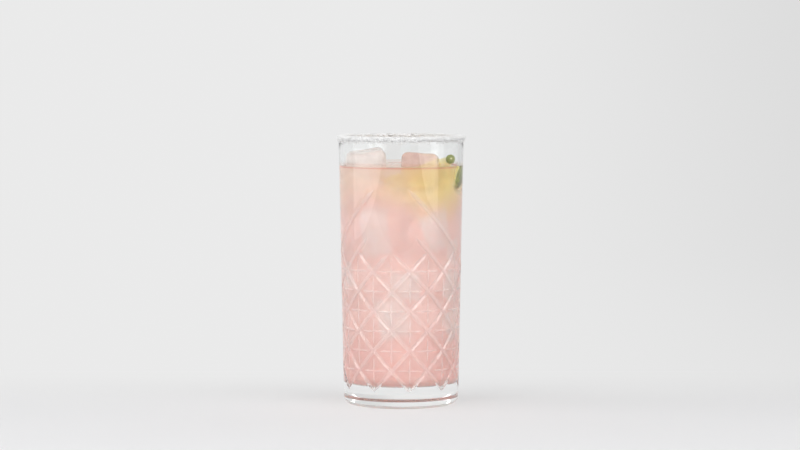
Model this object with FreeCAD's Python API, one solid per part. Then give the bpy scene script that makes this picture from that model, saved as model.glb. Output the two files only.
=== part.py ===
"""Tall cut-glass tumbler of paloma: salted rim, ice, a lime wedge and a cloudy pink drink.

Millimetres, +Z up. The origin is the centre of the foot ring's resting face and -Y is the front.
Bearings are in degrees from the front, positive towards +X.
"""
import FreeCAD, Part

import math
import os
import random

# Tumbler
GLASS_HEIGHT = 146.3      # resting face to the top of the lip
RIM_RADIUS = 34.1         # outside, at the lip
BASE_RADIUS = 31.35       # outside, just above the heel
RIM_WALL = 2.4
BASE_WALL = 3.4           # wall at the floor
FLOOR_THICKNESS = 11.6
HEEL_RADIUS = 4.6         # rounding between the side and the foot
FLOOR_CORNER = 5.0        # rounding between the inner wall and the floor
FOOT_RING = 3.2           # width of the flat resting ring
PUNT_RISE = 1.5           # hollow under the foot

# Cut lattice
CUTS_PER_FAMILY = 10      # grooves that lean each way
LATTICE_FOOT = 10.2       # height of the lowest tips
LATTICE_ROW = 10.75       # height of half a diamond
LATTICE_ROWS = 7          # half diamonds between the lowest tips and the top nodes
LATTICE_BEARING = -9.5    # bearing of the middle of the front arch
GROOVE_WIDTH = 2.3
GROOVE_DEPTH = 0.95
STAR_WIDTH = 0.9          # fine cross in each diamond
STAR_DEPTH = 0.36
STAR_UPRIGHT = 16.0       # length of the cross's upright
STAR_ARM = 13.5           # half of its level arm, in degrees
# How far, in degrees, each groove runs on above its top node; the list repeats round the glass,
# so half of it makes one arch and the other half the same arch at the back.
ARCH_RUNS = (-2.5, 12.5, 56.0, 0.5, 0.5)
CUTTER_STEP = 6.0         # degrees between a cutter's stations
TIP_RUN = 5.0             # degrees over which a groove fades out

# Contents
DRINK_BELOW_LIP = 16.0
MENISCUS_RISE = 2.0
MENISCUS_WIDTH = 3.0
WALL_GAP = 0.25           # least gap between a solid in the drink and the wall

ICE_ROUNDING = 3.4
ICE_DRAFT = 0.9           # narrowing of a cube towards its foot, on each side
# width, depth, height; bearing; distance from the wall; height of the centre over the drink;
# turn about the upright, roll about the depth axis, pitch about the width axis
ICE = {
    "ice_left": ((22.0, 19.0, 21.0), -81.0, 12.3, -2.2, 7.0, -6.0, 4.0),
    "ice_right": ((20.0, 18.0, 21.0), 36.0, 14.2, -3.0, -9.0, 3.0, -5.0),
}

LIME_LENGTH = 49.0
LIME_RADIUS = 19.0
LIME_NUB_RADIUS = 2.6     # the knob at the stem end
LIME_NUB_LENGTH = 2.8     # how far it stands out
LIME_NUB_DROP = 1.9       # its centre below the ridge
LIME_NUB_TURN = 12.0      # its centre behind the front cut face, in degrees
LIME_WEDGE = 62.0         # degrees of the whole fruit
LIME_TIP_BEARING = 88.0   # where the stem end meets the wall
LIME_TIP_RISE = 6.0       # stem end above the drink
LIME_TIP_GAP = 2.6        # stem end to the wall
LIME_HEADING = 12.5       # turn of the wedge about the upright
LIME_SLOPE = 18.0         # fall of its ridge away from the stem end
LIME_FACE_TURN = -4.0     # lean of its front cut face from the upright

# Salt crust on the lip
CRUST_OUTSIDE = 1.25      # beyond the glass, outside
CRUST_INSIDE = 0.8
CRUST_OVER = 0.6          # above the lip
CRUST_HEIGHT = 2.6
CRUST_UNEVEN = 0.3
CRUST_STATIONS = 90
CRUST_SECTION = 8
SEED = 11

DRINK_LEVEL = GLASS_HEIGHT - DRINK_BELOW_LIP

V = FreeCAD.Vector
UP = V(0, 0, 1)


def outer_radius(z):
    """Outside radius of the uncut tumbler at height z."""
    share = (z - HEEL_RADIUS) / (GLASS_HEIGHT - HEEL_RADIUS)
    return BASE_RADIUS + (RIM_RADIUS - BASE_RADIUS) * share


def inner_radius(z, gap=0.0):
    """Inside radius of the tumbler at height z, less a gap."""
    share = (z - FLOOR_THICKNESS) / (GLASS_HEIGHT - FLOOR_THICKNESS)
    low = outer_radius(FLOOR_THICKNESS) - BASE_WALL
    return low + (RIM_RADIUS - RIM_WALL - low) * share - gap


def around(bearing, radius, z):
    """Point at a bearing from the front, a radius and a height."""
    angle = math.radians(bearing)
    return V(radius * math.sin(angle), -radius * math.cos(angle), z)


def turned(edges):
    """Solid of revolution about Z from edges that close a profile in the XZ plane."""
    wire = Part.Wire(Part.__sortEdges__(edges))
    return Part.Face(wire).revolve(V(0, 0, 0), UP, 360)


def line(a, b):
    return Part.makeLine(V(a[0], 0, a[1]), V(b[0], 0, b[1]))


def arc(a, through, b):
    return Part.Arc(V(a[0], 0, a[1]), V(through[0], 0, through[1]), V(b[0], 0, b[1])).toShape()


def cavity_edges(top, gap=0.0):
    """Edges of the cavity's profile from its axis at the floor up the wall to a height."""
    floor = FLOOR_THICKNESS + gap
    corner = FLOOR_CORNER
    foot = (inner_radius(floor) - corner - gap, floor)
    side = (inner_radius(floor + corner, gap), floor + corner)
    bulge = math.sin(math.pi / 4)
    middle = (foot[0] + (side[0] - foot[0]) * bulge, floor + corner * (1 - bulge))
    return [line((0, floor), foot), arc(foot, middle, side), line(side, (inner_radius(top, gap), top))]


def cavity(top, gap):
    """Everything that fits inside the tumbler, up to a height."""
    edges = cavity_edges(top, gap)
    edges += [line((inner_radius(top, gap), top), (0, top)), line((0, top), (0, FLOOR_THICKNESS + gap))]
    return turned(edges)


def blank():
    """The uncut tumbler: hollow foot, rounded heel, straight tapering side and full round lip."""
    ring_out = BASE_RADIUS - HEEL_RADIUS
    ring_in = ring_out - FOOT_RING
    heel_mid = (ring_out + HEEL_RADIUS * math.sin(math.pi / 4), HEEL_RADIUS * (1 - math.cos(math.pi / 4)))
    lip = RIM_WALL / 2
    lip_z = GLASS_HEIGHT - lip
    edges = [
        arc((0, PUNT_RISE), (ring_in * 0.6, PUNT_RISE * 0.64), (ring_in, 0)),
        line((ring_in, 0), (ring_out, 0)),
        arc((ring_out, 0), heel_mid, (BASE_RADIUS, HEEL_RADIUS)),
        line((BASE_RADIUS, HEEL_RADIUS), (outer_radius(lip_z), lip_z)),
        arc((outer_radius(lip_z), lip_z), (RIM_RADIUS - lip, GLASS_HEIGHT), (inner_radius(lip_z), lip_z)),
        line((0, PUNT_RISE), (0, FLOOR_THICKNESS)),
    ]
    return turned(edges + cavity_edges(lip_z))


def shell_solid(sections, closed=False):
    """Faceted solid through equal rings of points; open ends are capped from the first point."""
    count = len(sections[0])
    faces = []

    def add(*points):
        faces.append(Part.Face(Part.makePolygon(list(points) + [points[0]])))

    pairs = list(zip(sections, sections[1:]))
    if closed:
        pairs.append((sections[-1], sections[0]))
    for here, there in pairs:
        for i in range(count):
            k = (i + 1) % count
            add(here[i], here[k], there[k])
            add(here[i], there[k], there[i])
    if not closed:
        for ring in (sections[0], sections[-1]):
            for i in range(1, count - 1):
                add(ring[0], ring[i], ring[i + 1])
    solid = Part.Solid(Part.Shell(faces))
    if solid.Volume < 0:
        solid.reverse()
    return solid


def groove_cutter(path, width, depth, fade):
    """V-shaped cutter along (bearing, z) stations on the outside; it fades out over its ends."""
    lift = 0.35
    spread = 0.5 * width * (depth + lift) / depth
    on_skin = [around(b, outer_radius(z), z) for b, z in path]
    length = [0.0]
    for a, b in zip(on_skin, on_skin[1:]):
        length.append(length[-1] + (b - a).Length)
    rings = []
    for i, ((bearing, z), at) in enumerate(zip(path, on_skin)):
        out = around(bearing, 1, 0)
        along = on_skin[min(i + 1, len(path) - 1)] - on_skin[max(i - 1, 0)]
        across = out.cross(along).normalize()
        end = min(length[i], length[-1] - length[i]) / fade
        sunk = depth * min(1.0, end) - 0.1 * lift * (end < 0.01)
        rings.append([at - out * sunk, at + out * (depth - sunk + lift) + across * spread,
                      at + out * (depth - sunk + lift) - across * spread])
    return shell_solid(rings)


def helix_stations(start, end, z_at):
    """(bearing, z) stations from one bearing to another, with extra ones where the ends fade."""
    sense = 1 if end > start else -1
    span = abs(end - start)
    stops = {0.0, TIP_RUN, span - TIP_RUN, span}
    count = int(span // CUTTER_STEP)
    even = [i * span / count for i in range(1, count)]
    stops.update(s for s in even if TIP_RUN * 1.4 < s < span - TIP_RUN * 1.4)
    return [(start + sense * s, z_at(start + sense * s)) for s in sorted(stops)]


def lattice_cutters():
    """Cutters of both groove families and of the fine crosses."""
    pitch = 360.0 / CUTS_PER_FAMILY
    step = pitch / 2
    top = LATTICE_FOOT + LATTICE_ROW * LATTICE_ROWS
    arc_mm = math.radians(TIP_RUN) * outer_radius(top)
    fade = math.hypot(arc_mm, TIP_RUN / step * LATTICE_ROW)
    cutters = []
    for sense in (1, -1):
        for n in range(CUTS_PER_FAMILY):
            node = LATTICE_BEARING + sense * pitch * n
            run = ARCH_RUNS[n % len(ARCH_RUNS)]
            z_at = lambda b: top - sense * (b - node) / step * LATTICE_ROW
            path = helix_stations(node - sense * run, node + sense * (step * LATTICE_ROWS + 1.0), z_at)
            cutters.append(groove_cutter(path, GROOVE_WIDTH, GROOVE_DEPTH, fade))
    for row in range(1, LATTICE_ROWS):
        z = LATTICE_FOOT + LATTICE_ROW * row
        shift = step if (LATTICE_ROWS - row) % 2 == 0 else 0.0
        for n in range(CUTS_PER_FAMILY):
            bearing = LATTICE_BEARING + shift + pitch * n
            half = STAR_UPRIGHT / 2
            upright = [(bearing, z + half * s) for s in (-1, -0.6, 0.6, 1)]
            level = [(bearing + STAR_ARM * s, z) for s in (-1, -0.55, 0, 0.55, 1)]
            cutters.append(groove_cutter(upright, STAR_WIDTH, STAR_DEPTH, 0.4 * half))
            cutters.append(groove_cutter(level, STAR_WIDTH, STAR_DEPTH, 0.4 * half))
    return cutters


def ice_cube(size, bearing, wall_distance, rise, turn, roll, pitch):
    """Rounded, slightly drafted cube, placed by its distance from the wall and from the level."""
    width, depth, height = size
    rings = []
    for z, inset in ((-height / 2, ICE_DRAFT), (height / 2, 0.0)):
        x, y = width / 2 - inset, depth / 2 - inset
        rings.append(Part.makePolygon([V(-x, -y, z), V(x, -y, z), V(x, y, z), V(-x, y, z), V(-x, -y, z)]))
    cube = Part.makeLoft(rings, True, True)
    cube = cube.makeFillet(ICE_ROUNDING, cube.Edges)
    z = DRINK_LEVEL + rise
    centre = around(bearing, inner_radius(z) - wall_distance, z)
    cube.Placement = FreeCAD.Placement(centre, FreeCAD.Rotation(turn, roll, pitch))
    return cube


def lime_wedge():
    """A wedge of lime: its ridge is the fruit's axis and its stem end has a knob."""
    half = LIME_LENGTH / 2
    body = half - LIME_NUB_LENGTH
    points = [V(-half, 0, 0)]
    for i in range(1, 16):
        t = math.pi * i / 16
        x = -half + (half + body) * (1 - math.cos(t)) / 2
        points.append(V(x, 0, LIME_RADIUS * math.sin(t) ** 0.92))
    points.append(V(body, 0, 0))
    skin = Part.BSplineCurve()
    skin.interpolate(points)
    profile = Part.Face(Part.Wire([skin.toShape(), Part.makeLine(points[-1], points[0])]))
    wedge = profile.revolve(V(0, 0, 0), V(1, 0, 0), LIME_WEDGE)
    turn = math.radians(LIME_NUB_TURN)
    across, down = -LIME_NUB_DROP * math.sin(turn), LIME_NUB_DROP * math.cos(turn)
    wedge = wedge.fuse(Part.makeSphere(LIME_NUB_RADIUS, V(half - LIME_NUB_RADIUS, across, down)))
    place = FreeCAD.Placement(V(0, 0, 0), FreeCAD.Rotation(V(1, 0, 0), 180 + LIME_FACE_TURN))
    place = FreeCAD.Placement(V(0, 0, 0), FreeCAD.Rotation(V(0, 1, 0), -LIME_SLOPE)).multiply(place)
    place = FreeCAD.Placement(V(0, 0, 0), FreeCAD.Rotation(UP, -LIME_HEADING)).multiply(place)
    tip = place.multVec(V(half, 0, 0))
    z = DRINK_LEVEL + LIME_TIP_RISE
    place.Base = around(LIME_TIP_BEARING, inner_radius(z) - LIME_TIP_GAP, z) - tip
    wedge.Placement = place
    return wedge


def drink():
    """The drink up to its level, with a meniscus against the wall."""
    wall = inner_radius(DRINK_LEVEL + MENISCUS_RISE)
    flat = inner_radius(DRINK_LEVEL) - MENISCUS_WIDTH
    bend = (flat + 0.62 * (wall - flat), DRINK_LEVEL + 0.24 * MENISCUS_RISE)
    edges = cavity_edges(DRINK_LEVEL + MENISCUS_RISE)
    edges += [
        arc((wall, DRINK_LEVEL + MENISCUS_RISE), bend, (flat, DRINK_LEVEL)),
        line((flat, DRINK_LEVEL), (0, DRINK_LEVEL)),
        line((0, DRINK_LEVEL), (0, FLOOR_THICKNESS)),
    ]
    return turned(edges)


def salt_crust():
    """Uneven ring of salt that wraps the lip; the glass is cut from it afterwards."""
    rng = random.Random(SEED)
    radius = RIM_RADIUS - RIM_WALL / 2
    reach_out = RIM_WALL / 2 + CRUST_OUTSIDE
    reach_in = RIM_WALL / 2 + CRUST_INSIDE
    middle = GLASS_HEIGHT + CRUST_OVER - CRUST_HEIGHT / 2
    sections = []
    for i in range(CRUST_STATIONS):
        bearing = 360.0 * i / CRUST_STATIONS
        ring = []
        for j in range(CRUST_SECTION):
            a = 2 * math.pi * (j + 0.5) / CRUST_SECTION
            reach = reach_out if math.cos(a) > 0 else reach_in
            bump = CRUST_UNEVEN * rng.uniform(-1, 1)
            swell = 1.0 / max(abs(math.cos(a)), abs(math.sin(a))) ** 0.55
            dr = math.cos(a) * (reach * swell * 0.94 + bump)
            dz = math.sin(a) * (CRUST_HEIGHT / 2 * swell * 0.94 + bump)
            ring.append(around(bearing, radius + dr, middle + dz))
        sections.append(ring)
    return shell_solid(sections, closed=True)


def one_solid(shape):
    """The largest solid of a shape; a cut can leave slivers beside it."""
    return max(shape.Solids, key=lambda s: s.Volume)


def build():
    """Every node's solid by name."""
    plain = blank()
    room = cavity(GLASS_HEIGHT - RIM_WALL / 2, WALL_GAP)
    lime = one_solid(lime_wedge().common(room))
    ice = {}
    for name, spec in ICE.items():
        cube = ice_cube(*spec).common(room)
        for other in [lime] + list(ice.values()):
            cube = cube.cut(other)
        ice[name] = one_solid(cube)
    nodes = {"glass": one_solid(plain.cut(lattice_cutters()))}
    nodes["drink"] = one_solid(drink().cut([lime] + list(ice.values())))
    nodes.update(ice)
    nodes["lime_wedge"] = lime
    nodes["salt_rim"] = one_solid(salt_crust().cut(plain))
    return nodes


os.makedirs("parts", exist_ok=True)
for name, solid in build().items():
    solid.exportStep(os.path.join("parts", name + ".step"))
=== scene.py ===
"""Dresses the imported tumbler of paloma: cut glass, cloudy drink, ice, lime wedge and salted rim."""
import math
import random

import bmesh
import bpy
import numpy as np
from bpy.props import FloatProperty, FloatVectorProperty, IntProperty, PointerProperty
from mathutils import Matrix, Vector, noise
from mathutils.geometry import delaunay_2d_cdt


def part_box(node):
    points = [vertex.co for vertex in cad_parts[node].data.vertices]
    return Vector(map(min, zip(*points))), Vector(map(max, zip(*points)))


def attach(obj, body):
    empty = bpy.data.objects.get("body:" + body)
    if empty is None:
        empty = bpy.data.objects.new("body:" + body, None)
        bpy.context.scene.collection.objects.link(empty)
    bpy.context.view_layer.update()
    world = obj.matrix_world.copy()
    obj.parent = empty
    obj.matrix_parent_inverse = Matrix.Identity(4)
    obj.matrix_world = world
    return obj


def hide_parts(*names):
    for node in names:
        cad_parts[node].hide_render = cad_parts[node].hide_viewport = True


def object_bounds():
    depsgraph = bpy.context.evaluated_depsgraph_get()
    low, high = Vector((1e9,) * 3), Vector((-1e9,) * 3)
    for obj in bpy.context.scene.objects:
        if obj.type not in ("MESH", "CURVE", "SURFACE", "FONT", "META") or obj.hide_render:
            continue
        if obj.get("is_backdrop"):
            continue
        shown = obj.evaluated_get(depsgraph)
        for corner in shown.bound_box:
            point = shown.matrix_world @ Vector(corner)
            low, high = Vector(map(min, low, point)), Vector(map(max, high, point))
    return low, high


bl_info = {
    "name": "Paloma in a cut tumbler",
    "version": (1, 0, 0),
    "blender": (4, 5, 0),
    "location": "View3D > Sidebar > Paloma",
    "description": "Cut-glass tumbler of pink drink with ice, a lime wedge and a salted rim",
    "category": "Object",
}

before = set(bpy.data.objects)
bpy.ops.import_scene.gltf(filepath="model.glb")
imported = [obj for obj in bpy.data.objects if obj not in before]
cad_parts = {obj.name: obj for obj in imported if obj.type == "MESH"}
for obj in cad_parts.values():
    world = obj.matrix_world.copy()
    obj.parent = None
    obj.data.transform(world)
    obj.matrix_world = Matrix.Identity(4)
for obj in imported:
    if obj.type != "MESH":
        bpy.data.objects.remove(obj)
CAD_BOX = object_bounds()

MM = 0.001
RIM_HEIGHT = float(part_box("glass")[1][2]) / MM
FLOOR_HEIGHT = float(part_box("drink")[0][2]) / MM
LIME_LOW, LIME_HIGH = (np.array(corner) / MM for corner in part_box("lime_wedge"))
SALT_LOW, SALT_HIGH = (np.array(corner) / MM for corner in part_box("salt_rim"))
ICE_TO_GLASS = 0.5  # sunk ice keeps this far from the walls and the floor, in millimetres
LIME_TO_GLASS = 0.3
LIME_GLOW = np.array([5.0, -22.0, -1.0])  # from the wedge's middle to its glow in the drink
ICE_IN_DRINK = 0.25  # how far under the surface the two cubes turn into sunk ice
ICE_GRID = 0.0006  # spacing of the points on the two cubes, in metres
CUBE_HOLLOWS = 160.0  # melt hollows to a metre of the two cubes
SUNK_HOLLOWS = 0.13  # melt hollows to a millimetre of a sunk cube


# Sizes and colours ---------------------------------------------------------------------------


def size_prop(name, description, value):
    """A size in millimetres."""
    text = description + ", in millimetres"
    return FloatProperty(name=name, description=text, default=value, min=0, max=400)


def metre_prop(name, description, value):
    """A length in metres."""
    return FloatProperty(name=name, description=description, default=value, unit="LENGTH")


def angle_prop(name, description, degrees):
    """An angle, given in degrees."""
    value = math.radians(degrees)
    return FloatProperty(name=name, description=description, default=value, subtype="ANGLE")


def share_prop(name, description, value):
    """A number from 0 to 1."""
    return FloatProperty(
        name=name, description=description, default=value, min=0, max=1, subtype="FACTOR"
    )


def lamp_prop(name, description, value):
    """Brightness of a lamp's face, where 1 is white."""
    return FloatProperty(name=name, description=description, default=value, min=0)


def count_prop(name, description, value):
    """A whole number."""
    return IntProperty(name=name, description=description, default=value, min=0)


def colour_prop(name, description, value):
    """A colour, linear."""
    return FloatVectorProperty(
        name=name, description=description, default=value, min=0, max=1, size=3, subtype="COLOR"
    )


class PALOMA_PG_tumbler(bpy.types.PropertyGroup):
    """Sizes and finish of the cut tumbler."""

    rim_radius: size_prop("Rim radius", "Outside radius at the lip", 34.1)
    base_radius: size_prop("Base radius", "Outside radius above the heel", 31.35)
    rim_wall: size_prop("Rim wall", "Wall thickness at the lip", 2.4)
    base_wall: size_prop("Base wall", "Wall thickness at the floor", 3.4)
    heel: size_prop("Heel radius", "Rounding between the side and the foot", 4.6)
    floor_corner: size_prop("Floor corner", "Rounding between the inner wall and the floor", 5.0)
    foot_ring: size_prop("Foot ring", "Width of the flat resting ring", 3.2)
    punt: size_prop("Punt", "Rise of the hollow under the foot", 1.5)
    groove_width: size_prop("Groove width", "Width of a cut", 2.3)
    groove_depth: size_prop("Groove depth", "Depth of a cut", 0.95)
    star_width: size_prop("Star width", "Width of the fine crosses", 0.9)
    star_depth: size_prop("Star depth", "Depth of the fine crosses", 0.36)
    edge: size_prop("Cut edge", "Rounding of the cuts' edges", 0.13)
    # Painted light: a pale pink satin in the cuts stands in for the light that the cuts catch
    cut_painted_light: share_prop("Satin", "Share of soft white in the cuts", 0.2)
    cut_painted_light_colour: colour_prop("Satin colour", "Soft white in the cuts", (1.0, 0.86, 0.83))
    tint: colour_prop("Tint", "Colour that the glass passes", (0.985, 0.993, 0.99))


class PALOMA_PG_drink(bpy.types.PropertyGroup):
    """Level, colours and clearness of the drink."""

    level: size_prop("Level", "Height of the drink's surface", 130.3)
    meniscus: size_prop("Meniscus", "Climb of the surface at the wall", 2.0)
    into_wall: size_prop("Into the wall", "Reach of the drink into the glass", 0.06)
    low: colour_prop("Low colour", "Drink near the floor", (0.85, 0.54, 0.495))
    middle: colour_prop("Middle colour", "Drink halfway up", (0.83, 0.58, 0.535))
    top: colour_prop("Top colour", "Drink under the surface", (0.86, 0.65, 0.535))
    pale: colour_prop("Pale colour", "Ice that touches the glass", (0.79, 0.67, 0.635))
    # Painted light: the yellow that light from the lime casts on the drink round it
    lime_glow_colour: colour_prop("Citrus colour", "Juice round the lime", (0.84, 0.675, 0.29))
    # Painted shade: a dark red line where the surface's edge is seen at a graze
    line: colour_prop("Line colour", "Line just under the level", (0.72, 0.31, 0.28))
    # Painted light: the drink's top surface and its underside are painted lighter by which way they
    # face
    surface: colour_prop("Surface colour", "Drink seen from above", (0.97, 0.8, 0.74))
    underside: colour_prop("Underside colour", "Drink seen from below", (0.93, 0.86, 0.84))
    window: colour_prop("Window colour", "Clear drink before the peel", (0.96, 0.97, 0.5))
    peel_bearing: angle_prop("Peel bearing", "Where the peel lies against the wall", 77.922)
    peel_below: size_prop("Peel below", "Middle of the peel under the surface", 5.0)
    film: colour_prop("Film colour", "Film that climbs the wall", (1.0, 0.97, 0.96))
    shade: colour_prop("Shade", "Lamp light that passes", (0.9, 0.885, 0.88))
    low_clearness: share_prop("Low clearness", "Share seen through near the floor", 0.25)
    top_clearness: share_prop("Top clearness", "Share seen through near the surface", 0.6)
    seed: count_prop("Seed", "Turning of the sunk ice", 5)


class PALOMA_PG_ice(bpy.types.PropertyGroup):
    """Shape and colours of the ice."""

    uneven: size_prop("Unevenness", "Melt hollows and bumps", 0.45)
    flesh_from: size_prop("Flesh from", "Height where flesh starts to show in the cube", 130.3)
    left: colour_prop("Left cube", "Left cube above the drink", (0.88, 0.81, 0.775))
    right: colour_prop("Right cube", "Right cube above the drink", (0.83, 0.63, 0.57))
    flesh: colour_prop("Flesh", "Lime flesh seen through the cube", (0.82, 0.66, 0.40))
    clearness: share_prop("Clearness", "Share seen through the cubes", 0.5)
    shade: colour_prop("Shade", "Lamp light that passes the cubes", (0.9, 0.9, 0.9))
    sunk: colour_prop("Sunk colour", "Ice under the surface", (0.96, 0.89, 0.87))
    sunk_pale: colour_prop("Sunk pale", "Cloudy parts of the sunk ice", (0.97, 0.93, 0.92))
    sunk_shade: colour_prop("Sunk shade", "Lamp light that passes sunk ice", (0.9, 0.88, 0.87))
    sunk_size: size_prop("Sunk cube", "Edge of a sunk cube", 19.0)


class PALOMA_PG_lime(bpy.types.PropertyGroup):
    """Sizes and colours of the lime wedge."""

    length: size_prop("Length", "Length of the fruit", 49.0)
    radius: size_prop("Radius", "Radius of the fruit", 19.0)
    nub_radius: size_prop("Knob radius", "Radius of the stem end's knob", 2.6)
    nub_length: size_prop("Knob length", "How far the knob stands out", 2.8)
    nub_drop: size_prop("Knob drop", "Knob's centre below the ridge", 1.9)
    nub_turn: angle_prop("Knob turn", "Knob behind the front cut", 12)
    wedge: angle_prop("Wedge", "Angle of the wedge", 62)
    heading: angle_prop("Heading", "Turn about the upright", 12.5)
    slope: angle_prop("Slope", "Fall of the ridge", 18)
    face_turn: angle_prop("Face lean", "Lean of the front cut", -4)
    tip_bearing: angle_prop("Tip bearing", "Where the stem end meets the wall", 88)
    tip_rise: size_prop("Tip rise", "Stem end above the drink", 6.0)
    tip_gap: size_prop("Tip gap", "Stem end to the wall", 2.6)
    curl: size_prop("Curl", "Distance to the right at which skin curls round the end", 22.5)
    curl_below: size_prop("Curl below", "Height under which skin curls round the end", 132.0)
    peel: colour_prop("Peel", "Green skin", (0.17, 0.19, 0.015))
    peel_pale: colour_prop("Pale peel", "Lighter patches of the skin", (0.28, 0.34, 0.02))
    pith: colour_prop("Pith", "White under the skin", (0.86, 0.84, 0.6))
    flesh: colour_prop("Flesh", "Juicy flesh", (0.8, 0.68, 0.26))
    flesh_pale: colour_prop("Pale flesh", "Walls of the juice sacs", (0.88, 0.82, 0.5))


class PALOMA_PG_salt(bpy.types.PropertyGroup):
    """The salted rim."""

    grains: count_prop("Grains", "Number of loose crystals", 4600)
    grain: size_prop("Grain", "Edge of a usual crystal", 0.6)
    lap: size_prop("Lap", "Reach of the crust over the inner wall", 0.8)
    colour: colour_prop("Colour", "Salt", (0.98, 0.98, 0.975))
    dull: colour_prop("Dull colour", "Duller patches of salt", (0.88, 0.88, 0.875))
    seed: count_prop("Seed", "Scatter of the crystals and bumps of the crust", 3)


class PALOMA_PG_stage(bpy.types.PropertyGroup):
    """Camera, floor and light."""

    distance: metre_prop("Distance", "Camera to the axis", 1.6)
    height: metre_prop("Height", "Camera over the floor", 0.197)
    aim: metre_prop("Aim", "Height of the middle of the picture", 0.0978)
    aside: metre_prop("Aside", "Camera to the right of the axis", -0.0006)
    lens: FloatProperty(name="Lens", description="Focal length in millimetres", default=132.1)
    paper: colour_prop("Paper", "Floor and backdrop", (0.805, 0.805, 0.81))
    paper_dull: colour_prop("Dull paper", "Duller patches of the paper", (0.79, 0.79, 0.795))
    surround: colour_prop("Surround", "Light of the room", (0.3, 0.3, 0.303))
    backdrop: colour_prop("Backdrop", "Room beyond the paper, as seen", (0.78, 0.78, 0.785))
    # Painted light: the backdrop glows lighter on the left and darker on the right, as light falls
    # from the left
    backdrop_left: colour_prop("Backdrop left", "Its light side", (0.825, 0.825, 0.825))
    backdrop_right: colour_prop("Backdrop right", "Its far side", (0.7, 0.7, 0.7))
    softbox: lamp_prop("Softboxes", "Brightness of the side lamps", 1.15)
    rear: lamp_prop("Rear strips", "Brightness of the lamps behind", 1.4)
    high: lamp_prop("High softboxes", "Brightness of the high lamps", 3.7)


# Materials -----------------------------------------------------------------------------------


class Wire:
    """An output of a node in a finish; arithmetic on it adds Math nodes."""

    def __init__(self, finish, socket):
        self.finish = finish
        self.socket = socket

    def math(self, operation, first, second):
        return self.finish.add("ShaderNodeMath", {"operation": operation}, {0: first, 1: second})

    def __add__(self, other):
        return self.math("ADD", self, other)

    def __sub__(self, other):
        return self.math("SUBTRACT", self, other)

    def __rsub__(self, other):
        return self.math("SUBTRACT", other, self)

    def __mul__(self, other):
        return self.math("MULTIPLY", self, other)

    def __truediv__(self, other):
        return self.math("DIVIDE", self, other)

    def __pow__(self, other):
        return self.math("POWER", self, other)

    def least(self, other):
        return self.math("MINIMUM", self, other)

    def most(self, other):
        return self.math("MAXIMUM", self, other)

    def size(self):
        return self.math("ABSOLUTE", self, 0.0)

    def above(self, low, high):
        """0 below low, 1 above high, with a smooth rise."""
        settings = {"interpolation_type": "SMOOTHSTEP", "clamp": True}
        sockets = {"Value": self, "From Min": low, "From Max": high}
        return self.finish.add("ShaderNodeMapRange", settings, sockets)


class Finish:
    """A material, or the room's light, under construction."""

    def __init__(self, name, kind="materials"):
        self.owner = getattr(bpy.data, kind).new(name)
        self.owner.use_nodes = True
        self.tree = self.owner.node_tree
        self.tree.nodes.clear()

    def add(self, kind, settings=None, sockets=None, out=0):
        """Adds a node: its settings first, then the values or wires of its sockets."""
        node = self.tree.nodes.new(kind)
        for key, value in (settings or {}).items():
            setattr(node, key, value)
        for key, value in (sockets or {}).items():
            if isinstance(value, Wire):
                self.tree.links.new(value.socket, node.inputs[key])
            else:
                node.inputs[key].default_value = value
        return Wire(self, node.outputs[out]) if node.outputs else node

    def place(self):
        """Coordinates on the piece."""
        return self.add("ShaderNodeTexCoord", out="Object")

    def kept(self, name, out):
        """Values stored with the piece's points."""
        return self.add("ShaderNodeAttribute", {"attribute_name": name}, out=out)

    def parts(self, vector):
        """The three numbers of a vector."""
        node = self.add("ShaderNodeSeparateXYZ", sockets={0: vector}).socket.node
        return [Wire(self, output) for output in node.outputs]

    def vector(self, operation, first, second, out="Value"):
        """Vector Math on a vector and a fixed one."""
        sockets = {0: first, 1: tuple(second)}
        return self.add("ShaderNodeVectorMath", {"operation": operation}, sockets, out)

    def sees(self, *kinds):
        """1 for rays of any of these kinds."""
        found = [self.add("ShaderNodeLightPath", out="Is %s Ray" % kind) for kind in kinds]
        share = found[0]
        for other in found[1:]:
            share = share.most(other)
        return share

    def mix(self, share, first, second):
        """A colour between two."""
        rgba = [c if isinstance(c, Wire) else (*c, 1.0) for c in (first, second)]
        sockets = {0: share, 6: rgba[0], 7: rgba[1]}
        return self.add("ShaderNodeMix", {"data_type": "RGBA"}, sockets, out=2)

    def grain(self, vector, scale, detail=2.0, stretch=None):
        """Soft noise from 0 to 1 at so many features a metre."""
        if stretch:
            vector = self.vector("MULTIPLY", vector, stretch, 0)
        return self.add(
            "ShaderNodeTexNoise", sockets={"Vector": vector, "Scale": scale, "Detail": detail}
        )

    def bump(self, height, distance, strength):
        sockets = {"Height": height, "Distance": distance, "Strength": strength}
        return self.add("ShaderNodeBump", sockets=sockets)

    def principled(self, **sockets):
        """A Principled surface; a _ in a socket's name stands for a space."""
        named = {}
        for key, value in sockets.items():
            plain = key.endswith("Color") and not isinstance(value, Wire)
            named[key.replace("_", " ")] = (*value, 1.0) if plain else value
        return self.add("ShaderNodeBsdfPrincipled", sockets=named)

    def clear(self, colour):
        """A surface that all light passes straight, in a colour."""
        return self.add("ShaderNodeBsdfTransparent", sockets={0: (*colour, 1.0)})

    def blend(self, share, first, second):
        return self.add("ShaderNodeMixShader", sockets={0: share, 1: first, 2: second})

    def lit_through(self, surface, shade, share=1.0):
        """The surface, with lamps shining through it in a shade."""
        return self.blend(self.sees("Shadow") * share, surface, self.clear(shade))

    def done(self, surface, output="ShaderNodeOutputMaterial"):
        self.add(output, sockets={"Surface": surface})
        return self.owner


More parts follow.
